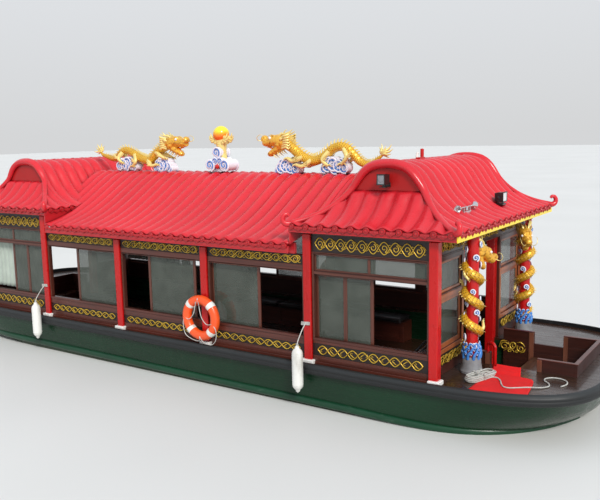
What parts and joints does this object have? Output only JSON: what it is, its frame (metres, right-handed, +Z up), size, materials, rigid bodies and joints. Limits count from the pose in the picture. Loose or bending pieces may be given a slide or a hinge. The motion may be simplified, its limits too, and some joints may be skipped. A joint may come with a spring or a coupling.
{
  "type": "painted pleasure boat",
  "caption": "Painted pleasure boat with a sunk glazed cabin, red ribbed roofs, ridge dragons, dragon pillars, a green hull, a helm, a propeller and a rudder.",
  "frame": {"origin": "under the middle of the boat, on the flat bottom of the hull", "axes": "+X to the bow, +Y to port, +Z up"},
  "size_m": [12.516, 4.1866, 4.207],
  "materials": {
    "hull_green": "gloss",
    "rail_green": "gloss",
    "black_rubber": "satin",
    "deck_wood": "gloss varnish",
    "wall_wood": "satin varnish",
    "sash_wood": "satin varnish",
    "red_lacquer": "gloss paint",
    "roof_red": "gloss",
    "yellow_paint": "gloss paint",
    "ornament_paint": "gloss",
    "buoy_orange": "matte",
    "fender_white": "matte",
    "bronze": "satin",
    "steel": "brushed",
    "dark_metal": "satin",
    "red_cloth": "matte",
    "white_cloth": "matte",
    "rope_white": "matte",
    "dark_leather": "satin"
  },
  "bodies": {
    "boat": {"hull": "hull_green", "deck": "deck_wood", "cabin_sole": "deck_wood", "front_steps": "deck_wood", "rear_steps": "deck_wood", "front_coaming": "wall_wood", "rear_coaming": "wall_wood", "grab_rail": "red_lacquer", "gunwale_fender": "black_rubber", "rub_rail_starboard": "rail_green", "rub_rail_port": "rail_green", "columns_front_starboard": "red_lacquer", "columns_rear_starboard": "red_lacquer", "columns_front_port": "red_lacquer", "columns_rear_port": "red_lacquer", "side_wall_front_starboard": "wall_wood", "side_wall_middle_starboard": "wall_wood", "side_wall_rear_starboard": "wall_wood", "side_wall_front_port": "wall_wood", "side_wall_middle_port": "wall_wood", "side_wall_rear_port": "wall_wood", "sashes_starboard": "sash_wood", "sashes_port": "sash_wood", "front_wall_starboard": "wall_wood", "rear_wall_starboard": "wall_wood", "front_wall_port": "wall_wood", "rear_wall_port": "wall_wood", "front_door_frame": "red_lacquer", "rear_door_frame": "red_lacquer", "middle_roof": "roof_red", "front_roof": "roof_red", "rear_roof": "roof_red", "aft_dragon": "ornament_paint", "forward_dragon": "ornament_paint", "pearl": "yellow_paint", "dragon_pillar_starboard": "red_lacquer", "dragon_pillar_port": "red_lacquer", "foredeck_carpet": "red_cloth", "mooring_rope_hank": "rope_white", "mooring_rope_end": "rope_white", "curtain_starboard": "white_cloth", "curtain_port": "white_cloth", "bow_floodlight": "dark_metal", "twin_horn": "steel", "gable_lamp": "dark_metal", "ridge_post": "red_lacquer", "lifebuoy_starboard": "buoy_orange", "lifebuoy_port": "buoy_orange", "forward_fender_starboard": "fender_white", "aft_fender_starboard": "fender_white", "forward_fender_port": "fender_white", "aft_fender_port": "fender_white", "bench_starboard": "dark_leather", "bench_port": "dark_leather", "helm_console": "wall_wood", "driver_seat": "dark_leather", "engine": "dark_metal"},
    "propeller": {"propeller": "bronze"},
    "rudder": {"rudder": "steel"},
    "helm": {"helm_wheel": "dark_metal"}
  },
  "joints": [
    {"name": "propeller_spin", "type": "hinge", "parent": "boat", "child": "propeller", "pos_m": [-5.33, 0, 0.225], "axis": [1, 0, 0], "continuous": true},
    {"name": "rudder_turn", "type": "hinge", "parent": "boat", "child": "rudder", "pos_m": [-5.64, 0, 0.3], "axis": [0, 0, 1], "range_deg": [-35, 35]},
    {"name": "helm_turn", "type": "hinge", "parent": "boat", "child": "helm", "pos_m": [3.98, -1.18, 1.22], "axis": [-0.8192, 0, 0.5736], "range_deg": [-540, 540]}
  ],
  "couplings": [
    {"joint": "rudder_turn", "follows": "helm_turn", "ratio": -0.064815}
  ]
}
